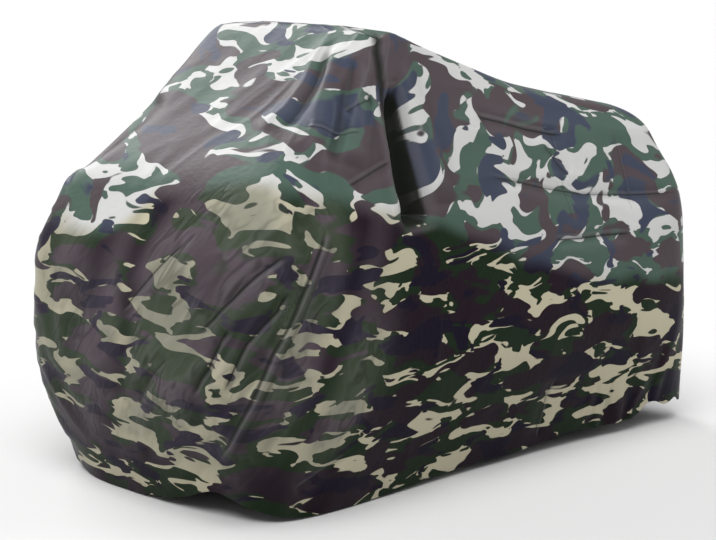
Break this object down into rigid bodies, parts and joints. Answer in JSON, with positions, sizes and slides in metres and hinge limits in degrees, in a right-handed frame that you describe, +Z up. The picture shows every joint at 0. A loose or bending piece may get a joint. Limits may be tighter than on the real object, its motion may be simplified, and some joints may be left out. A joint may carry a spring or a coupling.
{
  "type": "quad bike cover",
  "caption": "Fitted woodland-camouflage cloth cover draped to the shape of a quad bike, with a handlebar ridge, folds and a drawn-in elastic hem, open underneath.",
  "frame": {"origin": "middle of the open underside, level with the lowest point of the hem", "axes": "+X from the nose of the cover to its tail, +Y to its right-hand side, +Z up"},
  "size_m": [1.7656, 1.0461, 1.1952],
  "materials": {
    "camouflage_polyester": "coated woven polyester with a soft sheen, printed in khaki, green, brown and near-black blotches"
  },
  "bodies": {
    "root": {"cover": "camouflage_polyester"}
  },
  "joints": []
}
